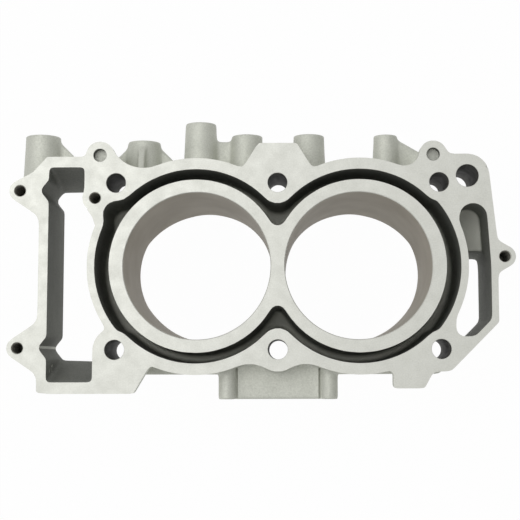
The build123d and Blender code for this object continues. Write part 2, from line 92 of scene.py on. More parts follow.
class ShaderSheet:
    """A material's node tree with short calls for the nodes that it needs."""

    def __init__(self, name: str) -> None:
        """Start an empty material.

        Args:
            name: Name of the material.
        """
        self.material = bpy.data.materials.new(name)
        self.material.use_nodes = True
        self.tree = self.material.node_tree
        self.tree.nodes.clear()
        self.output = self.tree.nodes.new("ShaderNodeOutputMaterial")

    def node(self, kind: str, **settings: object) -> bpy.types.Node:
        """Add a node and set its properties.

        Args:
            kind: Type name of the node.
            settings: Properties to set on it.

        Returns:
            The new node.
        """
        made = self.tree.nodes.new(kind)
        for key, value in settings.items():
            setattr(made, key, value)
        return made

    def link(self, source: bpy.types.NodeSocket, target: bpy.types.NodeSocket) -> None:
        """Link an output socket to an input socket."""
        self.tree.links.new(source, target)

    def place(self, centre: Vector = Vector((0, 0, 0))) -> bpy.types.NodeSocket:
        """Object coordinates, measured from a centre.

        Args:
            centre: Point of the row frame where the pattern has its middle.

        Returns:
            A vector socket.
        """
        coordinates = self.node("ShaderNodeTexCoord")
        mapping = self.node("ShaderNodeMapping")
        mapping.inputs["Location"].default_value = -centre
        self.link(coordinates.outputs["Object"], mapping.inputs["Vector"])
        return mapping.outputs["Vector"]

    def noise(self, size: float, detail: float = 3.0, roughness: float = 0.55) -> bpy.types.NodeSocket:
        """Noise whose largest features have a given size.

        Args:
            size: Size of the features, in metres.
            detail: Number of finer octaves.
            roughness: Strength of the finer octaves.

        Returns:
            A value socket, about 0 to 1.
        """
        noise = self.node("ShaderNodeTexNoise")
        noise.inputs["Scale"].default_value = 1 / size
        noise.inputs["Detail"].default_value = detail
        noise.inputs["Roughness"].default_value = roughness
        self.link(self.place(), noise.inputs["Vector"])
        return noise.outputs["Fac"]

    def spread(
        self, value: bpy.types.NodeSocket, low: float, high: float, start: float = 0.3, end: float = 0.7
    ) -> bpy.types.NodeSocket:
        """Map a value from one range to another, clamped.

        Args:
            value: Value socket to map.
            low: Result at the start of the range.
            high: Result at the end of the range.
            start: Start of the range.
            end: End of the range.

        Returns:
            A value socket.
        """
        ranged = self.node("ShaderNodeMapRange")
        ranged.inputs["From Min"].default_value = start
        ranged.inputs["From Max"].default_value = end
        ranged.inputs["To Min"].default_value = low
        ranged.inputs["To Max"].default_value = high
        self.link(value, ranged.inputs["Value"])
        return ranged.outputs["Result"]

    def math(self, operation: str, first: object, second: object = 0.0) -> bpy.types.NodeSocket:
        """A Math node on sockets or numbers.

        Args:
            operation: Name of the operation.
            first: Socket or number.
            second: Socket or number.

        Returns:
            A value socket.
        """
        worked = self.node("ShaderNodeMath", operation=operation)
        for socket, value in zip(worked.inputs, (first, second)):
            if isinstance(value, bpy.types.NodeSocket):
                self.link(value, socket)
            else:
                socket.default_value = value
        return worked.outputs["Value"]

    def blend(self, share: bpy.types.NodeSocket, first: object, second: object) -> bpy.types.NodeSocket:
        """Mix two colours by a share.

        Args:
            share: Value socket, 0 for the first colour and 1 for the second.
            first: Colour at 0, as a socket or as three numbers.
            second: Colour at 1, as a socket or as three numbers.

        Returns:
            A colour socket.
        """
        mixed = self.node("ShaderNodeMix", data_type="RGBA")
        self.link(share, mixed.inputs["Factor"])
        for socket, colour in zip([s for s in mixed.inputs if s.type == "RGBA"], (first, second)):
            if isinstance(colour, bpy.types.NodeSocket):
                self.link(colour, socket)
            else:
                socket.default_value = (*colour, 1.0)
        return next(s for s in mixed.outputs if s.type == "RGBA")

    def facing_up(self, start: float, end: float) -> bpy.types.NodeSocket:
        """How far the surface faces up, from 0 at one slope to 1 at another.

        Args:
            start: Height of the unit normal where the share starts.
            end: Height of the unit normal where it is 1.

        Returns:
            A value socket.
        """
        parts = self.node("ShaderNodeSeparateXYZ")
        self.link(self.node("ShaderNodeNewGeometry").outputs["Normal"], parts.inputs["Vector"])
        return self.spread(parts.outputs["Z"], 0, 1, start, end)

    def bump(
        self, height: bpy.types.NodeSocket, depth: float, below: bpy.types.NodeSocket | None = None
    ) -> bpy.types.NodeSocket:
        """Bump from a height field.

        Args:
            height: Value socket, 0 to 1.
            depth: Depth of the relief, in metres.
            below: Normal that this relief lies on, if any.

        Returns:
            A normal socket.
        """
        bump = self.node("ShaderNodeBump")
        bump.inputs["Strength"].default_value = 1.0
        bump.inputs["Distance"].default_value = depth
        self.link(height, bump.inputs["Height"])
        if below is not None:
            self.link(below, bump.inputs["Normal"])
        return bump.outputs["Normal"]

    def metal(
        self,
        colour: bpy.types.NodeSocket,
        roughness: bpy.types.NodeSocket,
        normal: bpy.types.NodeSocket,
        metallic: float,
        specular: float = 0.5,
    ) -> bpy.types.Material:
        """Close the tree with a metal surface.

        Args:
            colour: Base colour socket.
            roughness: Roughness socket.
            normal: Normal socket.
            metallic: How far the surface is bare metal.
            specular: Specular level of what isn't bare metal.

        Returns:
            The finished material.
        """
        surface = self.node("ShaderNodeBsdfPrincipled")
        surface.inputs["Metallic"].default_value = metallic
        surface.inputs["Specular IOR Level"].default_value = specular
        self.link(colour, surface.inputs["Base Color"])
        self.link(roughness, surface.inputs["Roughness"])
        self.link(normal, surface.inputs["Normal"])
        self.link(surface.outputs["BSDF"], self.output.inputs["Surface"])
        return self.material


@dataclass(frozen=True)
class CastSkin:
    """Sand-cast aluminium with a fine grain and faint clouds; where a top colour is given, faces that look
    up are painted lighter, as painted light from above.
    """

    name: str
    light: Colour
    dark: Colour
    metallic: float = 0.6
    rough: tuple[float, float] = (0.56, 0.7)
    cloud_size: float = 14 * MM
    cloud_share: tuple[float, float] = (0.1, 0.5)
    grain_size: float = 0.9 * MM
    grain_share: float = 0.5
    grain_depth: float = 0.09 * MM
    # Colour and normal slopes of the painted light on faces that look up, if any.
    painted_top_light: Colour | None = None
    painted_top_light_slopes: tuple[float, float] = (0.3, 0.9)

    def material(self) -> bpy.types.Material:
        """Build the material.

        Returns:
            The finished material.
        """
        sheet = ShaderSheet(self.name)
        clouds = sheet.noise(self.cloud_size, detail=5.0)
        grain = sheet.noise(self.grain_size, detail=2.0, roughness=0.6)
        cloudy = sheet.spread(clouds, *self.cloud_share)
        mottle = sheet.math("ADD", cloudy, sheet.spread(grain, 0, self.grain_share))
        colour = sheet.blend(mottle, self.light, self.dark)
        # Painted light: the more a face looks up, the more it takes the lighter top colour.
        if self.painted_top_light:
            colour = sheet.blend(sheet.facing_up(*self.painted_top_light_slopes), colour, self.painted_top_light)
        roughness = sheet.spread(grain, *self.rough)
        return sheet.metal(colour, roughness, sheet.bump(grain, self.grain_depth), self.metallic)


@dataclass(frozen=True)
class MilledFace:
    """Face-milled aluminium with the faint arcs of a large cutter."""

    name: str = "milled_aluminium"
    light: Colour = (0.73, 0.735, 0.685)
    dark: Colour = (0.58, 0.585, 0.535)
    metallic: float = 0.6
    rough: tuple[float, float] = (0.45, 0.57)
    cutter_centre: Vector = field(default_factory=lambda: Vector((-420 * MM, 30 * MM, 0)))
    arc_spacing: float = 6.912 * MM
    arc_sway: float = 0.4
    arc_depth: float = 0.004 * MM
    cloud_size: float = 9 * MM
    cloud_share: tuple[float, float] = (0.15, 0.45)
    grain_size: float = 0.9 * MM
    grain_share: float = 0.5
    grain_depth: float = 0.02 * MM

    def material(self) -> bpy.types.Material:
        """Build the material.

        Returns:
            The finished material.
        """
        sheet = ShaderSheet(self.name)
        arcs = sheet.node("ShaderNodeTexWave", wave_type="RINGS", rings_direction="Z")
        arcs.inputs["Scale"].default_value = math.tau / self.arc_spacing / WAVE_TURN
        arcs.inputs["Distortion"].default_value = self.arc_sway
        sheet.link(sheet.place(self.cutter_centre), arcs.inputs["Vector"])
        clouds = sheet.noise(self.cloud_size, detail=6.0, roughness=0.65)
        grain = sheet.noise(self.grain_size, detail=2.0, roughness=0.6)
        cloudy = sheet.spread(clouds, *self.cloud_share)
        mottle = sheet.math("ADD", cloudy, sheet.spread(grain, 0, self.grain_share))
        colour = sheet.blend(mottle, self.light, self.dark)
        roughness = sheet.spread(clouds, *self.rough)
        normal = sheet.bump(grain, self.grain_depth, sheet.bump(arcs.outputs["Fac"], self.arc_depth))
        return sheet.metal(colour, roughness, normal, self.metallic)


@dataclass(frozen=True)
class PlatedBore:
    """Hard plating of a bore with a crossing honing pattern."""

    bore_x: float
    bore_radius: float
    name: str = "plated_bore"
    light: Colour = (0.345, 0.305, 0.235)
    dark: Colour = (0.315, 0.28, 0.215)
    metallic: float = 0.25
    specular: float = 0.2
    rough: tuple[float, float] = (0.48, 0.53)
    line_spacing: float = 1.4 * MM
    line_depth: float = 0.006 * MM
    stain_size: float = 22 * MM

    def material(self) -> bpy.types.Material:
        """Build the material.

        Returns:
            The finished material.
        """
        sheet = ShaderSheet(self.name)
        parts = sheet.node("ShaderNodeSeparateXYZ")
        sheet.link(sheet.place(), parts.inputs["Vector"])
        from_axis = sheet.math("SUBTRACT", sheet.math("ABSOLUTE", parts.outputs["X"]), self.bore_x)
        angle = sheet.math("ARCTAN2", parts.outputs["Y"], from_axis)
        around = sheet.math("MULTIPLY", angle, self.bore_radius)
        heights = []
        for side in (-1, 1):
            along = sheet.math("ADD", around, sheet.math("MULTIPLY", parts.outputs["Z"], side))
            turns = sheet.math("MULTIPLY", along, math.tau / self.line_spacing)
            heights.append(sheet.math("SINE", turns))
        hatch = sheet.spread(sheet.math("MAXIMUM", *heights), 0, 1, start=-0.5, end=1)
        stain = sheet.noise(self.stain_size, detail=2.0)
        colour = sheet.blend(sheet.spread(stain, 0, 1), self.light, self.dark)
        roughness = sheet.spread(stain, *self.rough)
        normal = sheet.bump(hatch, self.line_depth)
        return sheet.metal(colour, roughness, normal, self.metallic, self.specular)


@dataclass(frozen=True)
class DrilledWall:
    """Wall of a drilled or tapped hole, with the rings that a drill leaves; its default colours are near
    black, painted shade of a deep narrow hole.
    """

    name: str = "drilled_wall_shaded"
    # Painted shade: near-black default colours stand in for the shade of deep narrow holes.
    light: Colour = (0.115, 0.115, 0.102)
    dark: Colour = (0.095, 0.095, 0.084)
    metallic: float = 0.3
    specular: float = 0.25
    rough: tuple[float, float] = (0.55, 0.68)
    ring_spacing: float = 3.142 * MM
    ring_sway: float = 1.5
    ring_depth: float = 0.006 * MM
    cloud_size: float = 6 * MM

    def material(self) -> bpy.types.Material:
        """Build the material.

        Returns:
            The finished material.
        """
        sheet = ShaderSheet(self.name)
        rings = sheet.node("ShaderNodeTexWave", bands_direction="Z")
        rings.inputs["Scale"].default_value = math.tau / self.ring_spacing / WAVE_TURN
        rings.inputs["Distortion"].default_value = self.ring_sway
        sheet.link(sheet.place(), rings.inputs["Vector"])
        clouds = sheet.noise(self.cloud_size)
        colour = sheet.blend(sheet.spread(clouds, 0, 1), self.light, self.dark)
        roughness = sheet.spread(clouds, *self.rough)
        normal = sheet.bump(rings.outputs["Fac"], self.ring_depth)
        return sheet.metal(colour, roughness, normal, self.metallic, self.specular)


@dataclass(frozen=True)
class Hole:
    """One machined hole, from its mouth into the metal."""

    name: str
    mouth: Vector
    axis: Vector
    radius: float
    depth: float
    chamfer: float
    wall: Finish = Finish.DRILLED_SHADED
    blind: bool = True
    floor: Finish = Finish.DRILLED_SHADED

    def frame(self) -> Matrix:
        """Matrix whose Z axis points out of the mouth."""
        turn = self.axis.to_track_quat("Z", "Y").to_matrix().to_4x4()
        return Matrix.Translation(self.mouth) @ turn


@dataclass
class Workshop:
    """Meshes for cutting and joining, and the booleans that use them."""

    materials: list[bpy.types.Material]
    clear: float = 3 * MM
    point_angle: float = math.radians(59)

    def solid(self, name: str, shape: bmesh.types.BMesh) -> bpy.types.Object:
        """Make an object that has every finish in its slots.

        Args:
            name: Name of the object.
            shape: Mesh, which is freed.

        Returns:
            The object, linked to the scene.
        """
        mesh = bpy.data.meshes.new(name)
        shape.to_mesh(mesh)
        shape.free()
        for material in self.materials:
            mesh.materials.append(material)
        made = bpy.data.objects.new(name, mesh)
        bpy.context.scene.collection.objects.link(made)
        return made

    def turn(
        self,
        shape: bmesh.types.BMesh,
        place: Matrix,
        profile: list[tuple[float, float]],
        finishes: list[Finish],
        segments: int,
        floor: Finish | None = None,
    ) -> None:
        """Add a closed turned body to a mesh.

        Args:
            shape: Mesh to add to.
            place: Matrix of the body, whose Z axis is its own.
            profile: Radius and height of each ring, from the top down.
            finishes: Finish of the surface between each ring and the next.
            segments: Number of flats round the body.
            floor: Finish of the flat end, if it isn't that of the last surface.
        """
        rings = []
        for radius, height in profile:
            if radius <= 0:
                rings.append([shape.verts.new(place @ Vector((0, 0, height)))])
                continue
            turns = [math.tau * i / segments for i in range(segments)]
            points = [Vector((radius * math.cos(t), radius * math.sin(t), height)) for t in turns]
            rings.append([shape.verts.new(place @ point) for point in points])
        shape.faces.new(rings[0]).material_index = finishes[0]
        for upper, lower, finish in zip(rings, rings[1:], finishes):
            for i in range(segments):
                j = (i + 1) % segments
                corners = [upper[j], upper[i], lower[i % len(lower)]]
                if len(lower) > 1:
                    corners.append(lower[j])
                shape.faces.new(corners).material_index = finish
        if len(rings[-1]) > 1:
            shape.faces.new(rings[-1][::-1]).material_index = finishes[-1] if floor is None else floor

    def drill(self, holes: list[Hole], name: str, segments: int) -> bpy.types.Object:
        """Make the cutters of several holes as one mesh.

        Args:
            holes: Holes that don't overlap each other.
            name: Name of the tool.
            segments: Number of flats round each cutter.

        Returns:
            The tool.
        """
        shape = bmesh.new()
        for hole in holes:
            rim = hole.radius + hole.chamfer
            profile = [(rim, self.clear), (rim, 0), (hole.radius, -hole.chamfer), (hole.radius, -hole.depth)]
            finishes = [Finish.MILLED, Finish.MILLED, hole.wall]
            if hole.blind:
                profile.append((0, -hole.depth - hole.radius / math.tan(self.point_angle)))
                finishes.append(hole.wall)
            if hole.chamfer <= 0:
                del profile[1], finishes[1]
            self.turn(shape, hole.frame(), profile, finishes, segments, hole.floor)
        return self.solid(name, shape)

    def block(self, shape: bmesh.types.BMesh, low: Vector, high: Vector, finish: Finish) -> None:
        """Add a box to a mesh.

        Args:
            shape: Mesh to add to.
            low: Lowest corner.
            high: Highest corner.
            finish: Finish that its faces leave.
        """
        middle = Matrix.Translation((low + high) / 2)
        size = Matrix.Diagonal((*(high - low), 1))
        made = bmesh.ops.create_cube(shape, size=1, matrix=middle @ size)
        for face in {face for vert in made["verts"] for face in vert.link_faces}:
            face.material_index = finish

    def prism(
        self,
        name: str,
        outline: Iterable[Spot],
        ends: tuple[float, float],
        finish: Finish,
        along: str = "Z",
    ) -> bpy.types.Object:
        """Make a straight body with one outline.

        Args:
            name: Name of the object.
            outline: Corners, in X and Y or, for a body along X, in Y and Z.
            ends: Where it starts and ends along its axis.
            finish: Finish that its faces leave.
            along: Axis that it runs along, Z or X.

        Returns:
            The closed mesh.
        """
        shape = bmesh.new()
        rings = []
        for end in ends:
            corners = [(*spot, end) if along == "Z" else (end, *spot) for spot in outline]
            rings.append([shape.verts.new(corner) for corner in corners])
        near, far = rings
        sides = [(near[i], far[i], far[i - 1], near[i - 1]) for i in range(len(near))]
        for face in (near, far, *sides):
            shape.faces.new(face).material_index = finish
        bmesh.ops.recalc_face_normals(shape, faces=shape.faces)
        return self.solid(name, shape)

    def apply(self, body: bpy.types.Object, tool: bpy.types.Object, operation: str = "DIFFERENCE") -> None:
        """Cut a tool out of a body or join it on, and delete the tool.

        Args:
            body: Object whose mesh changes.
            tool: Closed mesh object.
            operation: Boolean operation.
        """
        modifier = body.modifiers.new("cut", "BOOLEAN")
        modifier.operation = operation
        modifier.solver = "MANIFOLD"
        modifier.object = tool
        evaluated = body.evaluated_get(bpy.context.evaluated_depsgraph_get())
        mesh = bpy.data.meshes.new_from_object(evaluated)
        body.modifiers.remove(modifier)
        spent = body.data
        body.data = mesh
        bpy.data.meshes.remove(spent)
        log.info("%s: %d faces after %s", body.name, len(mesh.polygons), tool.name)
        bpy.data.meshes.remove(tool.data)


@dataclass
class ThreadTap:
    """Tap for the screw threads, a helix with a triangular edge made with Geometry Nodes."""

    workshop: Workshop
    small_pitch: float = 1.25 * MM
    large_pitch: float = 1.5 * MM
    large_from: float = 4 * MM
    groove_share: float = 0.54
    overlap: float = 0.1 * MM
    run_out: float = 0.5 * MM
    steps: int = 24

    def tree(self) -> bpy.types.NodeTree:
        """Node tree that puts one helix at each point, along the point's axis.

        Returns:
            The tree, with the helix's sizes as named inputs.
        """
        tree = bpy.data.node_groups.new("screw_thread", "GeometryNodeTree")
        inputs = {"Mouths": "Geometry", "Rail radius": "Float", "Tooth radius": "Float"}
        inputs |= {"Turns": "Float", "Length": "Float", "Run out": "Float", "Metal": "Material"}
        for name, kind in inputs.items():
            tree.interface.new_socket(name, in_out="INPUT", socket_type="NodeSocket" + kind)
        tree.interface.new_socket("Threads", in_out="OUTPUT", socket_type="NodeSocketGeometry")
        add, link = tree.nodes.new, tree.links.new
        given = add("NodeGroupInput").outputs
        rail = add("GeometryNodeCurveSpiral")
        rail.inputs["Resolution"].default_value = self.steps
        for name in ("Start Radius", "End Radius"):
            link(given["Rail radius"], rail.inputs[name])
        link(given["Turns"], rail.inputs["Rotations"])
        link(given["Length"], rail.inputs["Height"])
        upright = add("GeometryNodeSetCurveNormal")
        upright.mode = "Z_UP"
        link(rail.outputs["Curve"], upright.inputs["Curve"])
        tooth = add("GeometryNodeCurvePrimitiveCircle")
        tooth.inputs["Resolution"].default_value = 3
        link(given["Tooth radius"], tooth.inputs["Radius"])
        swept = add("GeometryNodeCurveToMesh")
        swept.inputs["Fill Caps"].default_value = True
        link(upright.outputs["Curve"], swept.inputs["Curve"])
        link(tooth.outputs["Curve"], swept.inputs["Profile Curve"])
        sunk = add("ShaderNodeMath")
        sunk.operation = "SUBTRACT"
        link(given["Run out"], sunk.inputs[0])
        link(given["Length"], sunk.inputs[1])
        depth = add("ShaderNodeCombineXYZ")
        link(sunk.outputs["Value"], depth.inputs["Z"])
        lowered = add("GeometryNodeTransform")
        link(swept.outputs["Mesh"], lowered.inputs["Geometry"])
        link(depth.outputs["Vector"], lowered.inputs["Translation"])
        axis = add("GeometryNodeInputNamedAttribute")
        axis.data_type = "FLOAT_VECTOR"
        axis.inputs["Name"].default_value = "axis"
        aligned = add("FunctionNodeAlignRotationToVector")
        aligned.axis = "Z"
        link(axis.outputs["Attribute"], aligned.inputs["Vector"])
        placed = add("GeometryNodeInstanceOnPoints")
        link(given["Mouths"], placed.inputs["Points"])
        link(lowered.outputs["Geometry"], placed.inputs["Instance"])
        link(aligned.outputs["Rotation"], placed.inputs["Rotation"])
        realized = add("GeometryNodeRealizeInstances")
        link(placed.outputs["Instances"], realized.inputs["Geometry"])
        dressed = add("GeometryNodeSetMaterial")
        link(realized.outputs["Geometry"], dressed.inputs["Geometry"])
        link(given["Metal"], dressed.inputs["Material"])
        link(dressed.outputs["Geometry"], add("NodeGroupOutput").inputs["Threads"])
        return tree

    def helices(self, tree: bpy.types.NodeTree, holes: list[Hole]) -> bpy.types.Mesh:
        """Helices for holes of one size.

        Args:
            tree: The node tree.
            holes: Holes of the same radius and depth.

        Returns:
            A plain mesh.
        """
        pitch = self.small_pitch if holes[0].radius < self.large_from else self.large_pitch
        points = bpy.data.meshes.new("mouths")
        points.from_pydata([hole.mouth for hole in holes], [], [])
        axes = points.attributes.new("axis", "FLOAT_VECTOR", "POINT")
        for entry, hole in zip(axes.data, holes):
            entry.vector = hole.axis
        holder = bpy.data.objects.new("mouths", points)
        bpy.context.scene.collection.objects.link(holder)
        modifier = holder.modifiers.new("tap", "NODES")
        modifier.node_group = tree
        tooth = (self.groove_share * pitch + self.overlap) / TOOTH_HEIGHT
        length = holes[0].depth - pitch
        values = {
            "Rail radius": holes[0].radius - self.overlap + tooth / 2,
            "Tooth radius": tooth,
            "Turns": length / pitch,
            "Length": length,
            "Run out": self.run_out,
            "Metal": self.workshop.materials[Finish.THREADED],
        }
        for item in tree.interface.items_tree:
            if item.name in values:
                modifier[item.identifier] = values[item.name]
        mesh = bpy.data.meshes.new_from_object(holder.evaluated_get(bpy.context.evaluated_depsgraph_get()))
        bpy.data.meshes.remove(points)
        return mesh

    def tap(self, holes: list[Hole]) -> bpy.types.Object:
        """Make the cutter for the threads of all tapped holes.

        Args:
            holes: The tapped holes.

        Returns:
            The tool.
        """
        tree = self.tree()
        shape = bmesh.new()
        for size in sorted({(hole.radius, hole.depth) for hole in holes}):
            mesh = self.helices(tree, [hole for hole in holes if (hole.radius, hole.depth) == size])
            shape.from_mesh(mesh)
            bpy.data.meshes.remove(mesh)
        bmesh.ops.recalc_face_normals(shape, faces=shape.faces)
        for face in shape.faces:
            face.material_index = Finish.THREADED
        return self.workshop.solid("taps", shape)


@dataclass
class MouldedBlank:
    """The raw casting: the CAD model with allowance, no holes and rounded corners."""

    node: bpy.types.Object
    allowance: float = 4 * MM
    rim_depth: float = 0.8 * MM
    skim: float = 0.5 * MM
    end_reach: float = 13 * MM
    plug_wall: float = 0.8 * MM
    inside_radius: float = 1.3 * MM
    edge_radius: float = 0.5 * MM
    cell: float = 0.75 * MM
    band: float = 4.5
    merge: float = 0.001 * MM
    plane_width: float = 0.01 * MM
    plug_flats: int = 48
    adaptivity: float = 0.05

    def pattern(self, workshop: Workshop, holes: list[Hole], deck: float, base: float) -> bpy.types.Object:
        """Copy the CAD model, fill its holes and give its faces allowance.

        Args:
            workshop: Where meshes are cut and joined.
            holes: Holes to fill.
            deck: Height of the deck.
            base: Height of the base.

        Returns:
            The pattern.
        """
        shape = bmesh.new()
        shape.from_mesh(self.node.data)
        bmesh.ops.remove_doubles(shape, verts=shape.verts, dist=self.merge)
        for vert in shape.verts:
            if vert.co.z > deck - self.rim_depth:
                vert.co.z = deck + self.allowance
            elif abs(vert.co.z - base) < self.plane_width:
                vert.co.z = base - self.allowance
        for hole in holes:
            if not hole.axis.z:
                for vert in self.end_verts(shape.verts, hole):
                    vert.co += hole.axis * self.skim
        made = workshop.solid("pattern", shape)
        plugs = bmesh.new()
        for hole in holes:
            radius = hole.radius + self.plug_wall
            top = self.allowance if hole.axis.z else self.skim
            profile = [(radius, top), (radius, -hole.depth - self.plug_wall)]
            workshop.turn(plugs, hole.frame(), profile, [Finish.CAST], self.plug_flats)
        workshop.apply(made, workshop.solid("plugs", plugs), "UNION")
        return made

    def end_verts(self, verts: Iterable, hole: Hole) -> list:
        """Vertices of the flat end face that a horizontal hole starts from.

        Args:
            verts: Vertices to choose from.
            hole: The hole.

        Returns:
            Those in the plane of its mouth and not far from its axis.
        """
        ends = [vert for vert in verts if abs(vert.co.y - hole.mouth.y) < self.plane_width]
        return [vert for vert in ends if (vert.co - hole.mouth).length < self.end_reach]

    def level_set(self, points: np.ndarray, triangles: np.ndarray, quads: np.ndarray) -> object:
        """Distance field of a closed mesh.

        Args:
            points: Vertices.
            triangles: Corner numbers of triangles.
            quads: Corner numbers of quads.

        Returns:
            The field.
        """
        return openvdb.FloatGrid.createLevelSetFromPolygons(
            points,
            triangles=triangles,
            quads=quads,
            transform=openvdb.createLinearTransform(self.cell),
            halfWidth=self.band,
        )

    def mould(self, pattern: bpy.types.Object) -> bmesh.types.BMesh:
        """Round the pattern's inside corners, then its edges.

        Args:
            pattern: The pattern, which is deleted.

        Returns:
            Mesh of the casting.
        """
        mesh = pattern.data
        mesh.calc_loop_triangles()
        points = np.empty(len(mesh.vertices) * 3, np.float32)
        mesh.vertices.foreach_get("co", points)
        triangles = np.empty(len(mesh.loop_triangles) * 3, np.int32)
        mesh.loop_triangles.foreach_get("vertices", triangles)
        points = points.reshape(-1, 3)
        triangles = triangles.reshape(-1, 3).astype(np.uint32)
        quads = np.empty((0, 4), np.uint32)
        steps = (
            (self.inside_radius, 0.0),
            (-self.inside_radius - self.edge_radius, 0.0),
            (self.edge_radius, self.adaptivity),
        )
        for distance, adaptivity in steps:
            grid = self.level_set(points, triangles, quads)
            points, triangles, quads = grid.convertToPolygons(isovalue=distance, adaptivity=adaptivity)
        bpy.data.meshes.remove(mesh)
        shape = bmesh.new()
        verts = [shape.verts.new(point) for point in points.tolist()]
        for corners in (*triangles.tolist(), *quads.tolist()):
            shape.faces.new([verts[i] for i in reversed(corners)])
        return shape


@dataclass(frozen=True)
class Zone:
    """Rectangle seen from above, whose sides run inside the metal round a passage."""

    low: tuple[float, float]
    high: tuple[float, float]

    def holds(self, x: np.ndarray, y: np.ndarray) -> np.ndarray:
        """Which points lie in the rectangle."""
        return (x > self.low[0]) & (x < self.high[0]) & (y > self.low[1]) & (y < self.high[1])


@dataclass
class EngineBlock:
    """The cylinder block: casting, machined faces, sleeves and holes."""

    workshop: Workshop
    record: dict
    deck: float = 0.0
    base: float = -50 * MM
    sleeve_end: float = -108 * MM
    sleeve_wall: float = 3.5 * MM
    sleeve_chamfer: float = 1 * MM
    sleeve_overlap: float = 1 * MM
    channel_top: float = -82 * MM
    channel_half_width: float = 21.5 * MM
    channel_flank_run: float = 23.5 * MM
    channel_radius: float = 6 * MM
    channel_steps: int = 8
    channel_reach: float = 115 * MM
    barrel_shift: float = 0.8 * MM
    jacket_wall_middle: float = 65 * MM
    jacket_floor: float = -44 * MM
    jacket_pocket: Zone = Zone((-114.8 * MM, 15 * MM), (-85 * MM, 45.5 * MM))
    chain_tunnel: Zone = Zone((-150.3 * MM, -77 * MM), (-114.8 * MM, 66 * MM))
    oil_gallery: Zone = Zone((108 * MM, -47.5 * MM), (136.5 * MM, 41.5 * MM))
    gallery_slant: float = 171.7 * MM
    skin_step: float = 1 * MM
    bore_chamfer: float = 0.45 * MM
    hole_chamfer: float = 0.2 * MM
    tapped_chamfer: float = 0.35 * MM
    boss_chamfer: float = 0.5 * MM
    boss_chamfer_past: float = 0.4 * MM
    pad_groove_x: float = 27.1 * MM
    pad_groove_z: float = -13.8 * MM
    pad_groove_radius: float = 1.5 * MM
    pad_groove_length: float = 20 * MM
    shoulder: tuple[Spot, ...] = (
        (-144.3 * MM, 71.9 * MM),
        (-155.5 * MM, 59.5 * MM),
        (-155.5 * MM, 71.9 * MM),
    )
    shoulder_depth: float = 17.3 * MM
    case_end_y: float = -50 * MM
    notch_wall: tuple[Spot, ...] = (
        (-112 * MM, 37 * MM),
        (-119.6 * MM, 37 * MM),
        (-120.6 * MM, 35.8 * MM),
        (-117.3 * MM, 31.1 * MM),
        (-116.5 * MM, 28.8 * MM),
        (-115.4 * MM, 25.5 * MM),
        (-112 * MM, 25.5 * MM),
    )
    notch_wall_depth: float = 24 * MM
    pad_window: tuple[Spot, Spot] = ((-40 * MM, -48 * MM), (40 * MM, -6 * MM))
    pad_screw_depth: float = 16 * MM
    pores: tuple[Spot, ...] = (
        (-10 * MM, -83.5 * MM),
        (-1.5 * MM, -83.7 * MM),
        (9.5 * MM, -83 * MM),
        (20 * MM, -83.4 * MM),
    )
    pore_top: float = -13.8 * MM
    pore_radius: float = 0.45 * MM
    nick: Spot = (133 * MM, 62.5 * MM)
    nick_radius: float = 0.9 * MM
    nick_depth: float = 0.5 * MM
    recess_radius: float = 4.15 * MM
    recess_depth: float = 5 * MM
    recess_spots: tuple[Spot, ...] = ((-112.8 * MM, 70.6 * MM), (98.9 * MM, 70.6 * MM))
    margin: float = 10 * MM
    bore_flats: int = 256
    sleeve_flats: int = 192
    boss_flats: int = 96
    drill_flats: int = 64
    groove_flats: int = 32
    flaw_flats: int = 12
    crease: float = math.radians(30)

    def mount(self, name: str) -> dict:
        """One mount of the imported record, by name."""
        return next(m for m in self.record["mounts"] if m["name"] == name)

    def deck_hole(
        self, name: str, spot: Iterable[float], radius: float, depth: float, **rest: object
    ) -> Hole:
        """A hole that runs straight down from the deck.

        Args:
            name: Name of the hole.
            spot: Its X and Y.
            radius: Its radius.
            depth: Its depth.
            rest: Other values of the hole.

        Returns:
            The hole.
        """
        values = {"chamfer": self.hole_chamfer, "blind": False} | rest
        return Hole(name, Vector((*spot, self.deck)), UP, radius, depth, **values)

    def bores(self) -> list[Hole]:
        """The two bores, which run through the sleeves."""
        made = []
        depth = self.deck - self.sleeve_end + self.workshop.clear
        for name in ("left_bore", "right_bore"):
            mount = self.mount(name)
            radius = mount["dims"]["r_mm"] * MM
            hole = self.deck_hole(
                name, mount["pos_m"][:2], radius, depth, chamfer=self.bore_chamfer, wall=Finish.PLATED
            )
            made.append(hole)
        return made

    def bolt_holes(self) -> list[Hole]:
        """Six holes for the long head bolts and the oil passage, through the deck and base."""
        corner = self.mount("corner_bolts")["dims"]
        middle = self.mount("middle_bolts")["dims"]
        passage = self.mount("oil_passage")
        half_x, half_y = corner["spacing_x_mm"] / 2 * MM, corner["spacing_y_mm"] / 2 * MM
        spots = [(sx * half_x, sy * half_y) for sx in (-1, 1) for sy in (-1, 1)]
        spots += [(0, side * middle["spacing_y_mm"] / 2 * MM) for side in (-1, 1)]
        radius = corner["hole_r_mm"] * MM
        depth = self.deck - self.base + self.workshop.clear
        made = [self.deck_hole("head_bolt", spot, radius, depth) for spot in spots]
        made.append(self.deck_hole("oil_passage", passage["pos_m"][:2], passage["dims"]["r_mm"] * MM, depth))
        return made

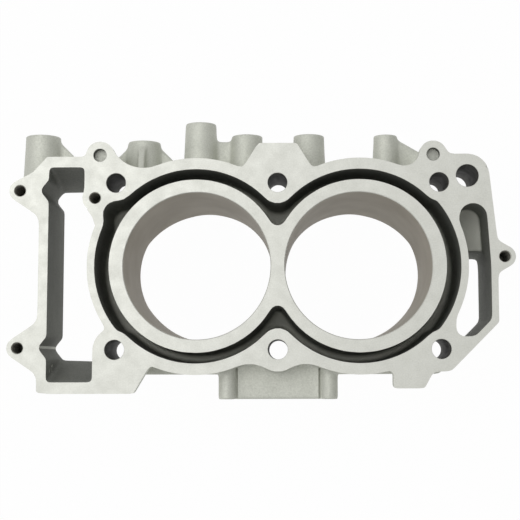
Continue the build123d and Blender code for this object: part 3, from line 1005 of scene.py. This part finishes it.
    def tapped_holes(self) -> list[Hole]:
        """Tapped holes in the deck, the bosses and the pad."""
        made = []
        rest = {"chamfer": self.tapped_chamfer, "wall": Finish.THREADED}
        for mount in self.record["mounts"]:
            if mount["kind"] == "threaded_hole":
                axis = Vector(mount["axis"])
                length = mount["dims"]["length_mm"] * MM
                mouth = Vector(mount["pos_m"]) + axis * length / 2
                made.append(Hole(mount["name"], mouth, axis, mount["dims"]["r_mm"] * MM, length, **rest))
        pad = self.mount("coolant_pad_screws")
        dims = pad["dims"]
        half_x, half_z = dims["spacing_x_mm"] / 2 * MM, dims["spacing_y_mm"] / 2 * MM
        for spot in [(sx * half_x, 0, sz * half_z) for sx in (-1, 1) for sz in (-1, 1)]:
            mouth = Vector(pad["pos_m"]) + Vector(spot)
            radius = dims["hole_r_mm"] * MM
            made.append(Hole("pad_screw", mouth, Vector(pad["axis"]), radius, self.pad_screw_depth, **rest))
        return made

    def plain_pockets(self) -> list[Hole]:
        """The two locating recesses in the deck, whose floors are cast skin and whose walls take the
        near-black drilled finish, painted shade.
        """
        radius, depth = self.recess_radius, self.recess_depth
        spots = self.recess_spots
        return [self.deck_hole("recess", spot, radius, depth, floor=Finish.CAST) for spot in spots]

    def flaws(self) -> list[Hole]:
        """Pores at the edge of the pad and a nick in the deck, as small pits whose walls take the dark
        passage finish, painted shade in the pits.
        """
        made = []
        for spot in self.pores:
            mouth = Vector((*spot, self.pore_top))
            made.append(Hole("pore", mouth, UP, self.pore_radius, self.pore_radius, 0, Finish.CORED_AND_SHADED))
        mouth = Vector((*self.nick, self.deck))
        made.append(Hole("nick", mouth, UP, self.nick_radius, self.nick_depth, 0, Finish.CORED_AND_SHADED))
        return made

    def pad_grooves(self) -> bpy.types.Object:
        """Two round bars that deepen the roots of the pad's two upper lugs.

        Returns:
            The tool.
        """
        shape = bmesh.new()
        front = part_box(NODE)[0].y
        for side in (-1, 1):
            place = Matrix.Translation((side * self.pad_groove_x, front, self.pad_groove_z))
            place @= Matrix.Rotation(math.pi / 2, 4, "X")
            ends = [(self.pad_groove_radius, z) for z in (self.workshop.clear, -self.pad_groove_length)]
            self.workshop.turn(shape, place, ends, [Finish.CAST], self.groove_flats)
        return self.workshop.solid("pad_grooves", shape)

    def sleeves(self) -> bpy.types.Object:
        """Ends of the sleeves below the base, with the channel of the crank webs.

        Returns:
            Closed mesh to join to the casting.
        """
        shape = bmesh.new()
        for bore in self.bores():
            outer = bore.radius + self.sleeve_wall
            top = self.base + self.sleeve_overlap
            profile = [
                (outer, top),
                (outer, self.sleeve_end + self.sleeve_chamfer),
                (outer - self.sleeve_chamfer, self.sleeve_end),
            ]
            place = Matrix.Translation((bore.mouth.x, bore.mouth.y, 0))
            self.workshop.turn(shape, place, profile, [Finish.MILLED] * 2, self.sleeve_flats)
        made = self.workshop.solid("sleeves", shape)
        self.workshop.apply(made, self.crank_channel())
        return made

    def crank_channel(self) -> bpy.types.Object:
        """Prism that cuts the channel across both sleeves.

        Returns:
            The tool.
        """
        half, run, radius = self.channel_half_width, self.channel_flank_run, self.channel_radius
        rise = self.channel_top - self.sleeve_end
        lean = math.atan2(run, rise)
        turn = math.pi / 2 - lean
        centre_y = half - radius * math.tan(turn / 2)
        swings = [turn * i / self.channel_steps for i in range(self.channel_steps + 1)]
        below = self.sleeve_end - self.margin
        centre_z = self.channel_top - radius
        flank = [(centre_y + radius * math.sin(t), centre_z + radius * math.cos(t)) for t in swings]
        flank.append((half + run * (self.channel_top - below) / rise, below))
        outline = [(-y, z) for y, z in reversed(flank)] + flank
        ends = (-self.channel_reach, self.channel_reach)
        return self.workshop.prism("crank_channel", outline, ends, Finish.MILLED, along="X")

    def facing_cuts(self) -> bpy.types.Object:
        """Boxes that mill the deck, the base and the face of the pad.

        Returns:
            The tool.
        """
        shape = bmesh.new()
        low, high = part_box(NODE)
        wide = Vector((self.margin, self.margin, 0))
        for bottom, top in ((self.deck, self.margin), (self.sleeve_end - self.margin, self.base)):
            corners = Vector((low.x, low.y, bottom)) - wide, Vector((high.x, high.y, top)) + wide
            self.workshop.block(shape, *corners, Finish.MILLED)
        (left, foot), (right, head) = self.pad_window
        before = low.y - self.workshop.clear
        self.workshop.block(shape, Vector((left, before, foot)), Vector((right, low.y, head)), Finish.MILLED)
        return self.workshop.solid("facing_cuts", shape)

    def boss_cuts(self, blank: MouldedBlank, holes: list[Hole]) -> bpy.types.Object:
        """Hollow mills that face the ends of the bosses and break their edges.

        Args:
            blank: The raw casting, which finds the end faces.
            holes: Blind holes, of which those along +Y are in bosses.

        Returns:
            The tool.
        """
        shape = bmesh.new()
        edge, past = self.boss_chamfer, self.boss_chamfer_past
        for hole in holes:
            if hole.axis.y > 0:
                ends = blank.end_verts(blank.node.data.vertices, hole)
                radius = max((vert.co - hole.mouth).length for vert in ends)
                profile = [
                    (radius + 2 * past, self.workshop.clear),
                    (radius + 2 * past, -edge - past),
                    (radius + past, -edge - past),
                    (radius - edge, 0),
                    (0, 0),
                ]
                finishes = [Finish.CAST] * 3 + [Finish.MILLED]
                self.workshop.turn(shape, hole.frame(), profile, finishes, self.boss_flats)
        return self.workshop.solid("boss_cuts", shape)

    def is_cored(self, points: np.ndarray) -> np.ndarray:
        """Which points lie in the chain tunnel, the oil gallery or the water jacket.

        Args:
            points: Points just outside the metal.

        Returns:
            One truth value for each point.
        """
        x, y, z = points.T
        barrel_x = abs(self.mount("right_bore")["pos_m"][0]) + self.barrel_shift
        near_barrel = np.hypot(np.abs(x) - barrel_x, y) < self.jacket_wall_middle
        jacket = (near_barrel | self.jacket_pocket.holds(x, y)) & (z > self.jacket_floor)
        gallery = self.oil_gallery.holds(x, y) & ~near_barrel & (x - y < self.gallery_slant)
        return jacket | gallery | self.chain_tunnel.holds(x, y)

    def sort_cast_skin(self, mesh: bpy.types.Mesh) -> None:
        """Give the walls that sand cores left their own finish, darker than the outer skin: partly the core
        skin's own tone, partly painted shade of the deep passages.

        Args:
            mesh: Mesh of the finished block.
        """
        count = len(mesh.polygons)
        centres, normals = np.empty(count * 3), np.empty(count * 3)
        mesh.polygons.foreach_get("center", centres)
        mesh.polygons.foreach_get("normal", normals)
        centres, normals = centres.reshape(-1, 3), normals.reshape(-1, 3)
        finishes = np.empty(count, np.int32)
        mesh.polygons.foreach_get("material_index", finishes)
        cored_and_shaded = self.is_cored(centres + normals * self.skin_step)
        # Past here, what faces -Y on the chain case is its slanted outside.
        case_end = (centres[:, 0] < self.chain_tunnel.high[0]) & (centres[:, 1] < self.case_end_y)
        cored_and_shaded &= ~(case_end & (normals[:, 1] < 0))
        # Faces in the passages take the darker finish, partly painted shade.
        finishes[(finishes == Finish.CAST) & cored_and_shaded] = Finish.CORED_AND_SHADED
        mesh.polygons.foreach_set("material_index", finishes)

    def mark_seams(self, mesh: bpy.types.Mesh) -> None:
        """Keep the edges between two finishes sharp.

        Args:
            mesh: Mesh of the block.
        """
        finishes = np.empty(len(mesh.polygons), dtype=np.int32)
        sizes = np.empty(len(mesh.polygons), dtype=np.int32)
        edges = np.empty(len(mesh.loops), dtype=np.int32)
        sharp = np.empty(len(mesh.edges), dtype=bool)
        mesh.polygons.foreach_get("material_index", finishes)
        mesh.polygons.foreach_get("loop_total", sizes)
        mesh.loops.foreach_get("edge_index", edges)
        mesh.edges.foreach_get("use_edge_sharp", sharp)
        around = np.repeat(finishes, sizes)
        lowest = np.full(len(mesh.edges), len(Finish))
        highest = np.full(len(mesh.edges), -1)
        np.minimum.at(lowest, edges, around)
        np.maximum.at(highest, edges, around)
        mesh.edges.foreach_set("use_edge_sharp", sharp | (lowest != highest))

    def build(self) -> bpy.types.Object:
        """Cast and machine the block.

        Returns:
            The finished piece.
        """
        workshop = self.workshop
        tapped = self.tapped_holes()
        drilled = self.bolt_holes() + self.plain_pockets()
        holes = self.bores() + drilled + tapped
        blank = MouldedBlank(frame["nodes"][NODE])
        shape = blank.mould(blank.pattern(workshop, holes, self.deck, self.base))
        block = workshop.solid("machined_block", shape)
        log.info("raw casting: %d faces", len(block.data.polygons))
        taps = ThreadTap(workshop)
        over = self.deck + workshop.clear
        ends = (self.deck - self.notch_wall_depth, over)
        workshop.apply(block, workshop.prism("notch_wall", self.notch_wall, ends, Finish.CAST), "UNION")
        workshop.apply(block, self.facing_cuts())
        workshop.apply(block, self.boss_cuts(blank, tapped))
        workshop.apply(block, self.pad_grooves())
        ends = (self.deck - self.shoulder_depth, over)
        workshop.apply(block, workshop.prism("shoulder_cut", self.shoulder, ends, Finish.CAST))
        workshop.apply(block, self.sleeves(), "UNION")
        workshop.apply(block, workshop.drill(self.bores(), "boring_bar", self.bore_flats))
        workshop.apply(block, workshop.drill(drilled, "drills", self.drill_flats))
        workshop.apply(block, workshop.drill(tapped, "tapping_drills", taps.steps))
        workshop.apply(block, taps.tap(tapped))
        workshop.apply(block, workshop.drill(self.flaws(), "flaws", self.flaw_flats))
        self.sort_cast_skin(block.data)
        block.data.polygons.foreach_set("use_smooth", [True] * len(block.data.polygons))
        block.data.set_sharp_from_angle(angle=self.crease)
        self.mark_seams(block.data)
        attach(block, BODY)
        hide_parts(NODE)
        return block


@dataclass
class Studio:
    """Camera, plain floor and soft light."""

    camera_place: Vector = field(default_factory=lambda: Vector((8.28 * MM, -59.96 * MM, 691.4 * MM)))
    camera_turn: tuple[float, float, float] = (-5.231, -0.250, 0.157)
    lens: float = 76.34
    sensor: float = 36.0
    shift_x: float = -0.05
    floor_size: float = 6.0
    floor_light: float = 0.98
    floor_paint: float = 0.65
    sky_side: Vector = field(default_factory=lambda: Vector((-0.3, 0.2, 0.9)))
    sky_far: float = 0.0
    sky_near: float = 0.86
    key_place: Vector = field(default_factory=lambda: Vector((-0.36, 0.2, 0.86)))
    key_size: float = 0.7
    key_light: float = 2.7

    def camera(self) -> None:
        """Put the camera where the photograph was taken from."""
        data = bpy.data.cameras.new("camera")
        data.lens = self.lens
        data.sensor_width = self.sensor
        data.shift_x = self.shift_x
        data.dof.use_dof = False
        data.clip_start = 0.01
        data.clip_end = 50
        camera = bpy.data.objects.new("camera", data)
        bpy.context.scene.collection.objects.link(camera)
        tilt, roll, swing = (math.radians(angle) for angle in self.camera_turn)
        turn = (
            Matrix.Rotation(swing, 3, "Z") @ Matrix.Rotation(tilt, 3, "X") @ Matrix.Rotation(roll, 3, "Y")
        ).transposed()
        camera.matrix_world = Matrix.Translation(self.camera_place) @ turn.to_4x4()
        bpy.context.scene.camera = camera

    def white_ground(self) -> bpy.types.Material:
        """White that the camera sees as such, with the block's soft shadow.

        Returns:
            The floor's material.
        """
        sheet = ShaderSheet("white_floor")
        paint = sheet.node("ShaderNodeBsdfDiffuse")
        paint.inputs["Color"].default_value = (*[self.floor_paint] * 3, 1)
        glow = sheet.node("ShaderNodeEmission")
        glow.inputs["Color"].default_value = (1, 1, 1, 1)
        path = sheet.node("ShaderNodeLightPath")
        seen = sheet.math("MAXIMUM", path.outputs["Is Camera Ray"], path.outputs["Is Glossy Ray"])
        share = sheet.math("MULTIPLY", seen, self.floor_light)
        mixed = sheet.node("ShaderNodeMixShader")
        sheet.link(share, mixed.inputs["Fac"])
        sheet.link(paint.outputs["BSDF"], mixed.inputs[1])
        sheet.link(glow.outputs["Emission"], mixed.inputs[2])
        sheet.link(mixed.outputs["Shader"], sheet.output.inputs["Surface"])
        return sheet.material

    def floor(self, height: float) -> None:
        """Lay the floor under the block.

        Args:
            height: Height of the floor.
        """
        shape = bmesh.new()
        bmesh.ops.create_grid(shape, x_segments=1, y_segments=1, size=self.floor_size / 2)
        mesh = bpy.data.meshes.new("floor")
        shape.to_mesh(mesh)
        shape.free()
        mesh.transform(Matrix.Translation((0, 0, height)))
        mesh.materials.append(self.white_ground())
        floor = bpy.data.objects.new("floor", mesh)
        bpy.context.scene.collection.objects.link(floor)

    def lamp(self, name: str, place: Vector, target: Vector, size: float, power: float) -> None:
        """Hang a square soft lamp.

        Args:
            name: Name of the lamp.
            place: Where it hangs.
            target: Point that it faces.
            size: Length of its side.
            power: Power in watts.
        """
        data = bpy.data.lights.new(name, "AREA")
        data.shape = "SQUARE"
        data.size = size
        data.energy = power
        lamp = bpy.data.objects.new(name, data)
        bpy.context.scene.collection.objects.link(lamp)
        lamp.location = place
        lamp.rotation_euler = (place - target).to_track_quat("Z", "Y").to_euler()

    def world(self) -> None:
        """White light that is strongest on one side of the sky, seen as plain white by the camera."""
        world = bpy.data.worlds.new("studio")
        world.use_nodes = True
        nodes, links = world.node_tree.nodes, world.node_tree.links
        nodes.clear()
        output = nodes.new("ShaderNodeOutputWorld")
        direction = nodes.new("ShaderNodeTexCoord")
        lean = nodes.new("ShaderNodeVectorMath")
        lean.operation = "DOT_PRODUCT"
        lean.inputs[1].default_value = self.sky_side.normalized()
        links.new(direction.outputs["Generated"], lean.inputs[0])
        fall = nodes.new("ShaderNodeMapRange")
        fall.inputs["From Min"].default_value = -1.0
        fall.inputs["To Min"].default_value = self.sky_far
        fall.inputs["To Max"].default_value = self.sky_near
        links.new(lean.outputs["Value"], fall.inputs["Value"])
        room = nodes.new("ShaderNodeBackground")
        room.inputs["Color"].default_value = (1, 1, 1, 1)
        links.new(fall.outputs["Result"], room.inputs["Strength"])
        white = nodes.new("ShaderNodeBackground")
        white.inputs["Color"].default_value = (1, 1, 1, 1)
        white.inputs["Strength"].default_value = 1.0
        path = nodes.new("ShaderNodeLightPath")
        mixed = nodes.new("ShaderNodeMixShader")
        links.new(path.outputs["Is Camera Ray"], mixed.inputs["Fac"])
        links.new(room.outputs["Background"], mixed.inputs[1])
        links.new(white.outputs["Background"], mixed.inputs[2])
        links.new(mixed.outputs["Shader"], output.inputs["Surface"])
        bpy.context.scene.world = world

    def build(self) -> None:
        """Set the stage round the block."""
        self.camera()
        self.world()
        self.floor(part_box(NODE)[0].z)
        self.lamp("softbox", self.key_place, Vector((0, 0, 0)), self.key_size, self.key_light)
        bpy.context.scene.view_settings.view_transform = "Standard"


def finish_materials(record: dict) -> list[bpy.types.Material]:
    """Materials of the block in the order of Finish.

    Args:
        record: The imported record.

    Returns:
        One material for each finish.
    """
    bore = next(m for m in record["mounts"] if m["name"] == "right_bore")
    made = {
        Finish.CAST: CastSkin("cast_skin", (0.66, 0.67, 0.605), (0.52, 0.53, 0.475)),
        # Passage skin: darker partly by its own tone, partly as painted shade of the deep, narrow passages.
        Finish.CORED_AND_SHADED: CastSkin(
            "cored_and_shaded_skin",
            (0.24, 0.245, 0.22),
            (0.17, 0.175, 0.155),
            rough=(0.64, 0.78),
            # Painted light: faces in the passages that look up are lighter, as if lit from above.
            painted_top_light=(0.62, 0.625, 0.565),
        ),
        Finish.MILLED: MilledFace(),
        Finish.PLATED: PlatedBore(bore["pos_m"][0], bore["dims"]["r_mm"] * MM),
        # Hole walls: near black as painted shade of deep narrow holes.
        Finish.DRILLED_SHADED: DrilledWall(),
        Finish.THREADED: DrilledWall("tapped_aluminium", (0.42, 0.41, 0.36), (0.34, 0.33, 0.29)),
    }
    return [made[finish].material() for finish in Finish]


def report_piece(piece: bpy.types.Object) -> None:
    """Log the size of a finished piece.

    Args:
        piece: The piece.
    """
    low, high = (Vector(c) for c in (piece.bound_box[0], piece.bound_box[6]))
    size = (high - low) / MM
    triangles = sum(len(p.vertices) - 2 for p in piece.data.polygons)
    log.info("%s: %.1f x %.1f x %.1f mm, %d triangles", piece.name, *size, triangles)


def main() -> None:
    """Build the stage and the block, and log the block's size."""
    logging.basicConfig(level=logging.INFO, format="%(name)s: %(message)s")
    Studio().build()
    workshop = Workshop(finish_materials(frame["record"]))
    block = EngineBlock(workshop, frame["record"]).build()
    report_piece(block)


if __name__ == "__main__":
    main()
